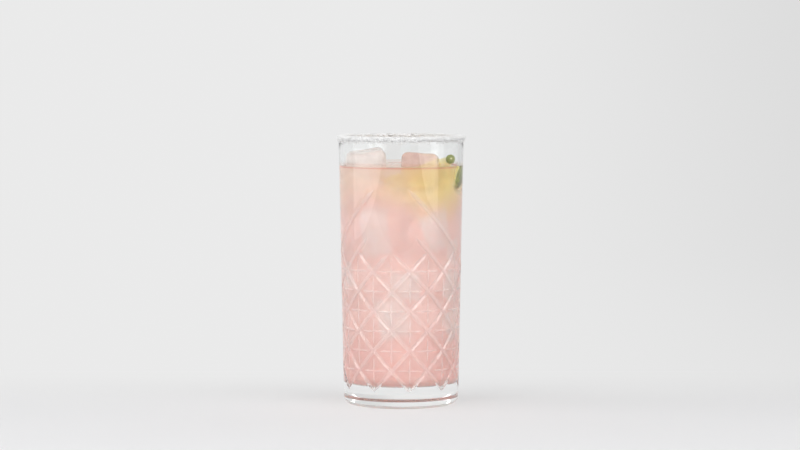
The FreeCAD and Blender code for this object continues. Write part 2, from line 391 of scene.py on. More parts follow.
def glass_finish(sizes):
    """Clear pressed glass with pale pink painted light in its cuts, that lets lamps reach what it
    holds.
    """
    f = Finish("clear_cut_glass")
    normal = f.bump(f.grain(f.place(), 60.0, 1.0), 0.00002, 0.5)
    body = f.principled(
        Base_Color=sizes.tint, Roughness=0.0, IOR=1.5, Transmission_Weight=1.0, Normal=normal
    )
    # Painted light: an opaque pale pink surface in the cuts makes them the lighter bands that caught
    # light gives
    cut_painted_light = f.principled(Base_Color=sizes.cut_painted_light_colour, Roughness=0.4, IOR=1.5, Normal=normal)
    in_cut = f.kept("cut", "Fac").above(0.0, 0.18)
    return f.done(f.lit_through(f.blend(in_cut * sizes.cut_painted_light, body, cut_painted_light), sizes.tint))


def touch_share(f, place, marks):
    """Where sunk ice touches the glass: 1 inside the outline of any of the marks."""
    touch = None
    uneven = (f.grain(place, 60.0) - 0.5) * 0.9
    for centre, across, up, out, half in marks:
        sideways = f.vector("DOT_PRODUCT", place, across) - centre.dot(across)
        upright = f.vector("DOT_PRODUCT", place, up) - centre.dot(up)
        apart = (sideways.size() / half[0]).most(upright.size() / half[1]) + uneven
        front = f.vector("DOT_PRODUCT", place, out).above(0.01, 0.02)
        mark = (1.0 - apart.above(0.7, 1.05)) * front
        touch = mark if touch is None else touch.most(mark)
    return touch * (f.grain(place, 120.0) * 0.6 + 0.32)


def drink_colour(f, sizes, place, cloud, rise, lime_centre, marks):
    """Colour by height, with the lime's yellow glow painted round it, sunk ice, a painted dark line
    just under the level, and both ends painted lighter by which way they face.
    """
    height = f.parts(place)[2]
    lower = f.mix(rise.above(0.1, 0.42), sizes.low, sizes.middle)
    colour = f.mix(rise.above(0.78, 0.95), lower, sizes.top)
    # Painted light: the lime's yellow glow on the drink in front of it
    away = f.vector("DISTANCE", place, lime_centre)
    near = 1.0 - (away + (cloud - 0.5) * 0.012).above(0.011, 0.027)
    colour = f.mix(near * 0.85, colour, sizes.lime_glow_colour)
    touch = touch_share(f, place, marks) * (1.0 - rise.above(0.8, 0.86))
    colour = f.mix(touch, colour, sizes.pale)
    # Painted light: the underside and the top surface painted lighter by which way they face
    facing = f.parts(f.add("ShaderNodeNewGeometry", out="Normal"))[2]
    colour = f.mix((facing * -1.0).above(0.8, 0.97), colour, sizes.underside)
    colour = f.mix(facing.above(0.9, 0.98) * 0.8, colour, sizes.surface)
    # Painted shade: a dark red band just under the level
    line = height.above((sizes.level - 0.9) * MM, (sizes.level - 0.5) * MM)
    line = line * (1.0 - height.above((sizes.level - 0.25) * MM, (sizes.level - 0.05) * MM))
    return f.mix(line * 0.9, colour, sizes.line)


def drink_finish(sizes, lime_centre, peel_spot, marks):
    """Cloudy pink drink: part of the light passes, the rest comes back softly."""
    f = Finish("cloudy_pink_drink")
    place = f.place()
    height = f.parts(place)[2]
    cloud = f.grain(place, 55.0, 3.0, (1.0, 1.0, 0.7))
    rise = height / (sizes.level * MM) + (cloud - 0.5) * 0.12
    colour = drink_colour(f, sizes, place, cloud, rise, lime_centre, marks)
    normal = f.bump(f.grain(place, 140.0), 0.0001, 0.2)
    milky = f.principled(
        Base_Color=colour, Roughness=0.12, IOR=1.34, Subsurface_Weight=0.6,
        Subsurface_Radius=(1.0, 0.6, 0.5), Subsurface_Scale=0.004, Normal=normal,
    )
    spot = f.vector("DISTANCE", place, peel_spot)
    window = 1.0 - (spot + (cloud - 0.5) * 0.01).above(0.006, 0.014)
    seen = f.principled(
        Base_Color=f.mix(window, colour, sizes.window), Roughness=0.06, IOR=1.34,
        Transmission_Weight=1.0, Normal=normal,
    )
    gain = sizes.top_clearness - sizes.low_clearness
    clearness = (rise.above(0.88, 0.97) * gain + sizes.low_clearness).most(window * 0.95)
    film = height.above((sizes.level + 0.05) * MM, (sizes.level + 0.4) * MM) * 0.9
    body = f.blend(film, f.blend(clearness, milky, seen), f.clear(sizes.film))
    return f.done(f.lit_through(body, sizes.shade))


def wet_ice_finish(name, sizes, colour):
    """Wet melting ice with a cloud inside, and lime flesh that shows through its right side."""
    f = Finish(name)
    place = f.place()
    x, _, z = f.parts(place)
    ridges = f.grain(place, 150.0, 3.0, (0.5, 1.0, 1.6))
    under = (x - 0.008) * 0.45 - (z - sizes.flesh_from * MM)
    flesh = (under + (ridges - 0.5) * 0.002).above(-0.0003, 0.0005) * x.above(0.006, 0.009)
    ice = f.mix(ridges.above(0.3, 0.7), colour, [c * 0.94 for c in colour])
    colour = f.mix(flesh, ice, sizes.flesh)
    normal = f.bump(ridges, 0.0008, 0.5)
    body = f.principled(
        Base_Color=colour, Roughness=0.03, IOR=1.31, Transmission_Weight=1.0, Normal=normal
    )
    milk = f.principled(Base_Color=colour, Roughness=0.12, IOR=1.31, Normal=normal)
    cloud = (f.grain(place, 130.0, 3.0) - 0.5) * 0.7 + (1.0 - sizes.clearness)
    return f.done(f.lit_through(f.blend(cloud, body, milk), sizes.shade))


def sunk_ice_finish(sizes, lime_centre, lime_glow_colour):
    """Ice as it shows through the cloudy drink: a paler block with soft faces."""
    f = Finish("sunk_ice")
    place = f.place()
    colour = f.mix(f.grain(place, 90.0, 3.0).above(0.3, 0.75), sizes.sunk, sizes.sunk_pale)
    # Painted light: the lime's yellow glow on sunk ice near it
    near = 1.0 - f.vector("DISTANCE", place, lime_centre).above(0.012, 0.026)
    colour = f.mix(near * 0.9, colour, lime_glow_colour)
    normal = f.bump(f.grain(place, 160.0), 0.0004, 0.4)
    body = f.principled(Base_Color=colour, Roughness=0.35, IOR=1.31, Normal=normal)
    return f.done(f.lit_through(body, sizes.sunk_shade, 0.85))


def lime_finish(sizes):
    """Green peel, pale pith and wet flesh with fine juice sacs, by depth under the skin."""
    f = Finish("lime_wedge")
    place = f.kept("in_fruit", "Vector")
    x, y, z = f.parts(place)
    radius = (y * y + z * z) ** 0.5
    along = (x / (sizes.length / 2 * MM)).least(0.999).most(-0.999)
    depth = (1.0 - along * along) ** 0.46 * (sizes.radius * MM) - radius
    wobble = f.grain(place, 300.0) - 0.5
    pores = f.add("ShaderNodeTexVoronoi", {"feature": "F1"}, {"Vector": place, "Scale": 900.0})
    green = f.mix(f.grain(place, 160.0, 3.0).above(0.3, 0.75), sizes.peel, sizes.peel_pale)
    drawn = f.add(
        "ShaderNodeCombineXYZ", sockets={0: x * 700.0, 1: radius * 90.0, 2: (y + z) * 60.0}
    )
    sacs = f.grain(drawn, 1.0)
    core = 1.0 - (radius + wobble * 0.0012).above(0.0009, 0.0022)
    inner = (depth + wobble * 0.0008).above(0.0021, 0.0027)
    peel = 1.0 - depth.above(0.0008, 0.0012)
    flesh = f.mix(sacs.above(0.3, 0.7), sizes.flesh, sizes.flesh_pale)
    colour = f.mix(inner, sizes.pith, flesh)
    colour = f.mix(core * 0.8, colour, sizes.pith)
    colour = f.mix(peel, colour, green)
    normal = f.bump(sacs * inner * 0.6 + pores * peel * 0.5, 0.0004, 0.6)
    return f.done(
        f.principled(
            Base_Color=colour, Roughness=0.42 - inner * 0.24, IOR=1.4, Subsurface_Weight=0.35,
            Subsurface_Radius=(1.0, 0.9, 0.3), Subsurface_Scale=0.003, Normal=normal,
        )
    )


def salt_finish(name, sizes, scale):
    """White salt with a glint on each crystal."""
    f = Finish(name)
    place = f.place()
    colour = f.mix(f.grain(place, scale, 3.0).above(0.35, 0.62), sizes.dull, sizes.colour)
    normal = f.bump(f.grain(place, scale * 2, 3.0), 0.0004, 0.7)
    return f.done(f.principled(Base_Color=colour, Roughness=0.28, IOR=1.54, Normal=normal))


def paper_finish(sizes):
    """Matt seamless paper with a fine tooth, seen away from the glass as a glowing backdrop with
    painted light: lighter on the left, shaded towards the right.
    """
    f = Finish("studio_paper")
    place = f.place()
    x, y, _ = f.parts(place)
    colour = f.mix(f.grain(place, 6.0) * 0.3, sizes.paper, sizes.paper_dull)
    normal = f.bump(f.grain(place, 1500.0), 0.00005, 0.2)
    sheet = f.principled(Base_Color=colour, Roughness=0.9, IOR=1.3, Normal=normal)
    # Painted light: glow fades from the lit left to the shaded right
    painted_falloff_glow = f.mix(x.above(-0.05, 0.6), sizes.backdrop_left, sizes.backdrop_right)
    glow = f.principled(
        Base_Color=(0.0, 0.0, 0.0), Specular_IOR_Level=0.0,
        Emission_Color=painted_falloff_glow, Emission_Strength=1.0,
    )
    beyond = y.above(-0.1, 0.16).most((y * -1.0).above(0.3, 0.5)).most(x.size().above(0.4, 0.6))
    seen = f.sees("Camera", "Glossy", "Transmission")
    return f.done(f.blend(seen * beyond, sheet, glow))


# Shapes --------------------------------------------------------------------------------------


def around(bearing, radius, z):
    """The point at a bearing from the front, in radians."""
    return Vector((radius * math.sin(bearing), -radius * math.cos(bearing), z))


def mesh_object(name, verts, faces, finish):
    """A smooth mesh object from points in millimetres."""
    mesh = bpy.data.meshes.new(name)
    places = (np.asarray(verts, dtype=float) * MM).tolist()
    mesh.from_pydata(places, [], [list(face) for face in faces])
    mesh.validate()
    mesh.update()
    mesh.polygons.foreach_set("use_smooth", [True] * len(mesh.polygons))
    mesh.materials.append(finish)
    piece = bpy.data.objects.new(name, mesh)
    bpy.context.scene.collection.objects.link(piece)
    return piece


def make_piece(name, verts, faces, finish, slot, normals=None):
    """A mesh object of the drink, riding on the one body."""
    piece = mesh_object(name, verts, faces, finish)
    if normals is not None:
        ways = np.asarray(normals, dtype=float).tolist()
        piece.data.normals_split_custom_set_from_vertices(ways)
    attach(piece, "root")
    return piece


def keep_values(piece, name, kind, field, values):
    """Stores a value with each point of a piece, for its finish to read."""
    kept = piece.data.attributes.new(name, kind, "POINT")
    kept.data.foreach_set(field, np.ravel(values))


def to_bmesh(places, faces):
    """An editable mesh of points and faces."""
    build = bmesh.new()
    verts = [build.verts.new(p) for p in places]
    for face in faces:
        build.faces.new([verts[i] for i in face])
    return build


def from_bmesh(build):
    """Points and faces of an editable mesh, which is then freed."""
    build.verts.index_update()
    places = [tuple(v.co) for v in build.verts]
    faces = [[v.index for v in f.verts] for f in build.faces]
    build.free()
    return places, faces


def outer_radius(sizes, z):
    """Outside radius of the uncut tumbler at height z."""
    share = (z - sizes.heel) / (RIM_HEIGHT - sizes.heel)
    return sizes.base_radius + (sizes.rim_radius - sizes.base_radius) * share


def inner_radius(sizes, z):
    """Inside radius of the tumbler at height z."""
    share = (z - FLOOR_HEIGHT) / (RIM_HEIGHT - FLOOR_HEIGHT)
    low = outer_radius(sizes, FLOOR_HEIGHT) - sizes.base_wall
    return low + (sizes.rim_radius - sizes.rim_wall - low) * share


def quarter(centre, radius, start, end, steps):
    """Points of an arc in the (radius, height) plane, angles in degrees."""
    angles = np.radians(np.linspace(start, end, steps + 1))
    return [(centre[0] + radius * math.cos(a), centre[1] + radius * math.sin(a)) for a in angles]


def cavity_profile(sizes, top, rows, reach=0.0):
    """(radius, height) points up the floor, its corner and the wall, reach inside the glass."""
    corner = sizes.floor_corner
    side = inner_radius(sizes, FLOOR_HEIGHT + corner)
    foot = inner_radius(sizes, FLOOR_HEIGHT) - corner
    points = [(foot * share, FLOOR_HEIGHT - reach) for share in (0.0, 0.25, 0.5, 0.75)]
    for angle in np.radians(np.linspace(0, 90, 9)):
        r = foot + (side - foot) * math.sin(angle)
        z = FLOOR_HEIGHT + corner * (1 - math.cos(angle))
        points.append((r + reach * math.sin(angle), z - reach * math.cos(angle)))
    for z in np.linspace(FLOOR_HEIGHT + corner, top, rows + 1)[1:]:
        points.append((inner_radius(sizes, z) + reach, float(z)))
    return points


def profile_normals(points, flip=1.0):
    """A normal for each (radius, height) point, left of the way it runs if flip is 1."""
    p = np.array(points)
    steps = np.diff(p, axis=0)
    steps /= np.linalg.norm(steps, axis=1)[:, None]
    ways = np.vstack([steps[:1], steps[:-1] + steps[1:], steps[-1:]])
    ways /= np.linalg.norm(ways, axis=1)[:, None]
    return flip * np.column_stack([-ways[:, 1], ways[:, 0]])


class Lathe:
    """Builds rings of points about the axis and the faces between them."""

    def __init__(self, count):
        self.count = count
        self.verts, self.normals, self.faces = [], [], []
        angles = np.radians(-180.0 + 360.0 * np.arange(count) / count)
        self.ways = np.column_stack([np.sin(angles), -np.cos(angles)])

    def ring(self, point, normal):
        """Indices of a ring, or of one point on the axis."""
        first = len(self.verts)
        if point[0] < 1e-9:
            self.verts.append((0.0, 0.0, point[1]))
            self.normals.append((0.0, 0.0, math.copysign(1.0, normal[1])))
            return [first] * self.count
        for way in self.ways:
            self.verts.append((way[0] * point[0], way[1] * point[0], point[1]))
            self.normals.append((way[0] * normal[0], way[1] * normal[0], normal[1]))
        return list(range(first, first + self.count))

    def skin(self, lower, upper):
        """Faces between two rings, seen from outside when upper is the higher on the outer side."""
        for i in range(self.count):
            k = (i + 1) % self.count
            face = [lower[i], lower[k], upper[k], upper[i]]
            kept = [v for n, v in enumerate(face) if v not in face[:n]]
            if len(kept) > 2:
                self.faces.append(kept)

    def run(self, points, normals, start=None, end=None):
        """Rings through the points, joined to rings that are there already."""
        rings = [start] if start else []
        rings += [self.ring(point, normal) for point, normal in zip(points, normals)]
        rings += [end] if end else []
        for lower, upper in zip(rings, rings[1:]):
            self.skin(lower, upper)
        return rings


class CutPattern:
    """The lattice of V-cuts and fine crosses, as lines on the unrolled side and as a depth."""

    cuts_each_way = 10
    foot, row, rows = 10.2, 10.75, 7  # lowest tips, half a diamond, half diamonds up the side
    bearing = -9.5  # middle of the front arch, in degrees
    arch_runs = (-2.5, 12.5, 56.0, 0.5, 0.5)  # degrees that the cuts run on above the lattice
    past_foot = 1.0  # degrees that the cuts run on under the lattice
    tip_run = 5.0  # degrees over which a cut fades out
    upright, arm = 16.0, 13.5  # a cross's length in millimetres and half width in degrees
    star_fade = 0.4  # share of a cross's half length over which it fades out
    unroll_height = 55.0  # where the unrolled side has its true width
    sharpness = 6  # how sharply crossing cuts join
    spacing = 2.3  # of the points between the cuts

    def __init__(self, sizes):
        self.sizes = sizes
        self.unroll = math.radians(1.0) * outer_radius(sizes, self.unroll_height)
        self.half_turn = 180.0 * self.unroll
        self.cuts = []
        pitch = 360.0 / self.cuts_each_way
        step = pitch / 2
        top = self.foot + self.row * self.rows
        fade = math.hypot(self.tip_run * self.unroll, self.tip_run / step * self.row)
        for sense in (1, -1):
            for n in range(self.cuts_each_way):
                node = self.bearing + sense * pitch * n
                run = self.arch_runs[n % len(self.arch_runs)]
                start = node - sense * run
                end = node + sense * (step * self.rows + self.past_foot)
                ends = [(b, top - sense * (b - node) / step * self.row) for b in (start, end)]
                self.add(*ends, sizes.groove_width, sizes.groove_depth, fade)
        for k in range(1, self.rows):
            z = self.foot + self.row * k
            shift = step if (self.rows - k) % 2 == 0 else 0.0
            for n in range(self.cuts_each_way):
                b = self.bearing + shift + pitch * n
                half = self.upright / 2
                star = sizes.star_width, sizes.star_depth, self.star_fade * half
                self.add((b, z - half), (b, z + half), *star)
                self.add((b - self.arm, z), (b + self.arm, z), *star)

    def add(self, start, end, width, depth, fade):
        """Keeps a cut and its copies that reach over the seam."""
        a = np.array([start[0] * self.unroll, start[1]])
        b = np.array([end[0] * self.unroll, end[1]])
        turn = 2 * self.half_turn
        for shift in range(-3, 4):
            lo, hi = sorted((a[0] + shift * turn, b[0] + shift * turn))
            if hi > -self.half_turn - width and lo < self.half_turn + width:
                move = np.array([shift * turn, 0.0])
                self.cuts.append((a + move, b + move, width / 2, depth, fade))

    def depth(self, at):
        """Depth of the cuts at points (unrolled way, height)."""
        total = np.zeros(len(at))
        edge = self.sizes.edge
        for a, b, half, depth, fade in self.cuts:
            length = np.linalg.norm(b - a)
            way = (b - a) / length
            side = np.array([-way[1], way[0]])
            rows = np.flatnonzero(np.abs((at - a) @ side) < half + 2 * edge)
            if not len(rows):
                continue
            along = (at[rows] - a) @ way
            off = (at[rows] - a) @ side
            strength = np.clip(np.minimum(along, length - along) / fade, 0.0, 1.0)
            slope = depth / half
            soft = 0.35 * edge
            sunk = depth * strength - slope * (np.sqrt(off * off + soft * soft) - soft)
            band = slope * edge * np.maximum(strength, 0.05)
            rounded = np.where(sunk < -band, 0.0, (sunk + band) ** 2 / (4 * band))
            smooth = np.where(sunk > band, sunk, rounded) * (strength > 0)
            total[rows] += smooth ** self.sharpness
        return total ** (1 / self.sharpness)

    def point(self, at):
        """Places on the cut side for points (unrolled way, height)."""
        radius = outer_radius(self.sizes, at[:, 1]) - self.depth(at)
        angle = np.radians(at[:, 0] / self.unroll)
        return np.column_stack([radius * np.sin(angle), -radius * np.cos(angle), at[:, 1]])

    def lines(self):
        """Lines along the cuts: each one's bottom, flanks and edges."""
        edge = self.sizes.edge
        segments = []
        for a, b, half, depth, fade in self.cuts:
            length = np.linalg.norm(b - a)
            way = (b - a) / length
            side = np.array([-way[1], way[0]])
            tip = np.array([0, 0.35 * fade, 0.7 * fade])
            inner = np.arange(fade, length - fade, self.spacing)
            stops = np.concatenate([tip, inner, length - tip[::-1]])
            strength = np.minimum(1.0, np.minimum(stops, length - stops) / fade)
            half_line = (1.6 * edge, half - edge, half + edge)
            for offset in [-x for x in half_line[::-1]] + [0.0, *half_line]:
                line = a + np.outer(stops, way) + np.outer(offset * strength, side)
                segments += list(zip(line[:-1], line[1:]))
        return segments

    def clipped(self, segments):
        """The lines' parts between the two sides of the seam."""
        clipped = []
        for p, q in segments:
            if p[0] > q[0]:
                p, q = q, p
            if q[0] <= -self.half_turn or p[0] >= self.half_turn:
                continue
            slope = (q[1] - p[1]) / (q[0] - p[0]) if q[0] > p[0] else 0.0
            if p[0] < -self.half_turn:
                p = np.array([-self.half_turn, p[1] + slope * (-self.half_turn - p[0])])
            if q[0] > self.half_turn:
                q = np.array([self.half_turn, q[1] - slope * (q[0] - self.half_turn)])
            clipped.append((p, q))
        return clipped

    def mesh(self, low, high, count):
        """Triangles of the side between two heights; its end rings have count points each."""
        segments = self.clipped(self.lines())
        places, edges, index = [], [], {}

        def keep(x, z):
            key = (round(float(x), 5), round(float(z), 5))
            if key not in index:
                index[key] = len(places)
                places.append(Vector((float(x), float(z))))
            return index[key]

        xs = np.linspace(-self.half_turn, self.half_turn, count + 1)
        for z in (low, high):
            ring = [keep(x, z) for x in xs]
            edges += list(zip(ring[:-1], ring[1:]))
        ends = [v for segment in segments for v in segment]
        seam = {round(float(v[1]), 5) for v in ends if abs(v[0] - self.half_turn) < 1e-6}
        seam = sorted(seam | {low, high, *np.arange(low + self.spacing, high - 0.5, self.spacing)})
        for x in (-self.half_turn, self.half_turn):
            side = [keep(x, z) for z in seam]
            edges += list(zip(side[:-1], side[1:]))
        for p, q in segments:
            i, k = keep(*p), keep(*q)
            if i != k:
                edges.append((i, k))
        gap = self.spacing
        for j, z in enumerate(np.arange(low + gap, high - gap / 2, gap * 0.87)):
            first = -self.half_turn + gap * (0.5 + 0.5 * (j % 2))
            for x in np.arange(first, self.half_turn - gap / 3, gap):
                keep(x, z)
        got = delaunay_2d_cdt(places, edges, [], 0, 1e-5)
        return self.joined(np.array([tuple(v) for v in got[0]]), got[2])

    def joined(self, flat, triangles):
        """Points and triangles with the two sides of the seam made one."""
        left, right = (np.abs(flat[:, 0] + s * self.half_turn) < 1e-4 for s in (1, -1))
        same = {round(flat[i, 1], 3): i for i in np.flatnonzero(left)}
        target = np.arange(len(flat))
        for i in np.flatnonzero(right):
            target[i] = same[round(flat[i, 1], 3)]
        used = np.unique(target)
        number = {old: new for new, old in enumerate(used)}
        faces = [[number[target[i]] for i in face] for face in triangles]
        return flat[used], [face for face in faces if len(set(face)) == len(face)]


def tumbler_shape(sizes):
    """Vertices, faces and normals of the whole cut tumbler."""
    count = 192
    low, high = sizes.heel + 1.5, 124.0  # the cut part of the side
    pattern = CutPattern(sizes)
    at, triangles = pattern.mesh(low, high, count)
    lathe = Lathe(count)
    lathe.verts = [tuple(p) for p in pattern.point(at)]
    lathe.cut = np.clip(pattern.depth(at) / sizes.groove_depth, 0.0, 1.0)
    nudge = 0.02
    across = pattern.point(at + (nudge, 0)) - pattern.point(at - (nudge, 0))
    up = pattern.point(at + (0, nudge)) - pattern.point(at - (0, nudge))
    normals = np.cross(across, up)
    normals /= np.linalg.norm(normals, axis=1)[:, None]
    lathe.normals = [tuple(n) for n in normals]
    lathe.faces = triangles

    def border(z):
        rows = [i for i in range(len(at)) if abs(at[i, 1] - z) < 1e-4]
        return sorted(rows, key=lambda i: at[i, 0])

    lip = sizes.rim_wall / 2
    lip_z = RIM_HEIGHT - lip
    side = [(outer_radius(sizes, z), float(z)) for z in np.linspace(high, lip_z, 5)]
    centre = (sizes.rim_radius - lip, lip_z)
    top = quarter(centre, lip, 0, 180, 12)
    inside = cavity_profile(sizes, lip_z, 20)[::-1]
    over = side + top[1:-1] + inside
    lathe.run(over[1:], profile_normals(over, -1.0)[1:], start=border(high))
    ring_out = sizes.base_radius - sizes.heel
    ring_in = ring_out - sizes.foot_ring
    heel = quarter((ring_out, sizes.heel), sizes.heel, 0, -90, 10)
    punt = [(ring_in * s, sizes.punt * (1 - s * s)) for s in (1.0, 0.93, 0.8, 0.6, 0.4, 0.2, 0.0)]
    under = [(outer_radius(sizes, low), low)] + heel + punt
    normals = profile_normals(under)
    rings = [border(low)] + [lathe.ring(p, n) for p, n in zip(under[1:], normals[1:])]
    for upper, lower in zip(rings, rings[1:]):
        lathe.skin(lower, upper)
    return lathe


def drink_shape(sizes, glass):
    """Closed skin of the drink, from the floor to its curved surface."""
    lathe = Lathe(160)
    top = sizes.level + sizes.meniscus
    wall = cavity_profile(glass, top, 34, sizes.into_wall)
    reach = 3.0  # width of the climb at the wall
    close = 0.03  # between the points that keep the top corner crisp
    edge = inner_radius(glass, sizes.level)
    curve = [
        (edge - reach * share, sizes.level + sizes.meniscus * (1 - share) ** 2.2)
        for share in np.linspace(0, 1, 9)[1:]
    ]
    flat = [(float(r), sizes.level) for r in np.linspace(edge - reach, 0, 9)[1:]]
    corner = [(wall[-1][0], top - close), wall[-1], (edge - close, top)]
    points = wall[:-1] + corner + curve + flat
    lathe.run(points, profile_normals(points, -1.0))
    return lathe


def soften(name, verts, faces, voxel):
    """Points and faces of a closed shape after it is remeshed evenly and smoothed."""
    mesh = bpy.data.meshes.new(name)
    mesh.from_pydata([tuple(v) for v in verts], [], [tuple(f) for f in faces])
    piece = bpy.data.objects.new(name, mesh)
    bpy.context.scene.collection.objects.link(piece)
    remesh = piece.modifiers.new("even", "REMESH")
    remesh.mode = "VOXEL"
    remesh.voxel_size = voxel
    smooth = piece.modifiers.new("smooth", "SMOOTH")
    smooth.factor = 0.5
    smooth.iterations = 8
    got = piece.evaluated_get(bpy.context.evaluated_depsgraph_get()).to_mesh()
    places = np.array([tuple(v.co) for v in got.vertices])
    normals = np.array([tuple(v.normal) for v in got.vertices])
    polygons = [tuple(p.vertices) for p in got.polygons]
    bpy.data.objects.remove(piece)
    bpy.data.meshes.remove(mesh)
    return places, normals, polygons


def melt(places, normals, amount, scale, seed):
    """Moves points in along their normals by soft noise, as melting does."""
    moved = places.copy()
    shift = Vector((seed * 7.3, seed * 3.1, seed * 5.7))
    for i, (p, n) in enumerate(zip(places, normals)):
        value = noise.fractal(Vector(p) * scale + shift, 1.0, 2.0, 3)
        moved[i] = p - n * amount * (0.5 + 0.5 * min(1.0, max(-1.0, value)))
    return moved


def cut_at(places, faces, height, keep_above):
    """The closed part of a shape above or below a level."""
    build = to_bmesh(places, faces)
    got = bmesh.ops.bisect_plane(
        build, geom=build.verts[:] + build.edges[:] + build.faces[:], plane_co=(0, 0, height),
        plane_no=(0, 0, 1), clear_inner=keep_above, clear_outer=not keep_above,
    )
    rim = [e for e in got["geom_cut"] if isinstance(e, bmesh.types.BMEdge)]
    if rim:
        bmesh.ops.contextual_create(build, geom=rim)
    bmesh.ops.triangulate(build, faces=[f for f in build.faces if len(f.verts) > 4])
    return from_bmesh(build)


def lime_middle():
    """Middle of the yellow glow that the lime gives the drink in front of it."""
    return (LIME_LOW + LIME_HIGH) / 2 + LIME_GLOW


def node_mesh(name):
    """Points in metres and faces of a CAD node at rest."""
    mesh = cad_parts[name].data
    return [tuple(v.co) for v in mesh.vertices], [tuple(p.vertices) for p in mesh.polygons]


def cube_shape(edge, rounding=0.22, steps=7):
    """A cube with well rounded edges about the origin, in millimetres."""
    verts, faces = [], []
    half = edge / 2
    for axis in range(3):
        for sign in (-1, 1):
            first = len(verts)
            for i in range(steps + 1):
                for k in range(steps + 1):
                    a, b = 2 * i / steps - 1, 2 * k / steps - 1
                    p = np.zeros(3)
                    p[axis], p[(axis + 1) % 3], p[(axis + 2) % 3] = sign, a, b
                    core = np.clip(p, -1 + rounding * 2, 1 - rounding * 2)
                    out = p - core
                    size = np.linalg.norm(out)
                    p = core + out / size * rounding * 2 if size > 0 else p
                    verts.append(p * half)
            for i in range(steps):
                for k in range(steps):
                    a = first + i * (steps + 1) + k
                    quad = [a, a + steps + 1, a + steps + 2, a + 1]
                    faces.append(quad if sign > 0 else quad[::-1])
    return np.array(verts), faces


# Operators -----------------------------------------------------------------------------------


class PALOMA_OT_add_tumbler(bpy.types.Operator):
    """Add the cut tumbler in place of its CAD solid"""

    bl_idname = "paloma.add_tumbler"
    bl_label = "Add tumbler"

    def execute(self, context):
        sizes = context.scene.paloma_tumbler
        lathe = tumbler_shape(sizes)
        piece = make_piece(
            "cut_tumbler", lathe.verts, lathe.faces, glass_finish(sizes), "glass", lathe.normals
        )
        cut = np.zeros(len(lathe.verts))
        cut[: len(lathe.cut)] = lathe.cut
        keep_values(piece, "cut", "FLOAT", "value", cut)
        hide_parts("glass")
        return {"FINISHED"}


class PALOMA_OT_add_drink(bpy.types.Operator):
    """Add the drink, which reaches just into the glass"""

    bl_idname = "paloma.add_drink"
    bl_label = "Add drink"

    def execute(self, context):
        sizes = context.scene.paloma_drink
        glass = context.scene.paloma_tumbler
        lathe = drink_shape(sizes, glass)
        reach = inner_radius(glass, sizes.level)
        peel_spot = around(sizes.peel_bearing, reach, sizes.level - sizes.peel_below)
        finish = drink_finish(sizes, lime_middle() * MM, peel_spot * MM, list(self.marks(reach)))
        piece = make_piece("pink_drink", lathe.verts, lathe.faces, finish, "drink", lathe.normals)
        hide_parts("drink")
        return {"FINISHED"}

    def marks(self, radius):
        """Where sunk ice touches the glass: centre, its ways across, up and out, half sizes."""
        spots = [  # bearing in degrees, height, half width, half height, tilt in radians
            (-27.0, 96.0, 9.5, 14.0, 0.05), (38.0, 96.0, 9.8, 12.5, 0.3),
            (4.0, 67.5, 8.5, 8.0, -0.04), (-9.0, 49.0, 8.5, 11.0, 0.2),
            (-68.0, 70.0, 7.0, 8.0, 0.35), (62.0, 66.0, 7.0, 9.0, -0.3),
            (66.0, 44.0, 7.0, 9.0, 0.25), (62.0, 84.0, 6.0, 8.0, 0.1),
            (100.0, 95.0, 8.0, 10.0, 0.15), (-105.0, 96.0, 9.0, 9.0, -0.2),
            (140.0, 62.0, 8.0, 9.0, 0.4), (-145.0, 60.0, 9.0, 8.0, 0.1),
            (178.0, 94.0, 9.0, 10.0, -0.25), (-100.0, 42.0, 7.0, 9.0, -0.35),
            (98.0, 38.0, 8.0, 7.0, 0.2), (180.0, 36.0, 9.0, 8.0, 0.3),
        ]
        for bearing, z, half, high, tilt in spots:
            b = math.radians(bearing)
            out = around(b, 1.0, 0.0)
            flat = Vector((math.cos(b), math.sin(b), 0.0))
            across = flat * math.cos(tilt) + Vector((0, 0, math.sin(tilt)))
            up = Vector((0, 0, math.cos(tilt))) - flat * math.sin(tilt)
            centre = (out * radius + Vector((0, 0, z))) * MM
            yield centre, across, up, out, (half * MM, high * MM)


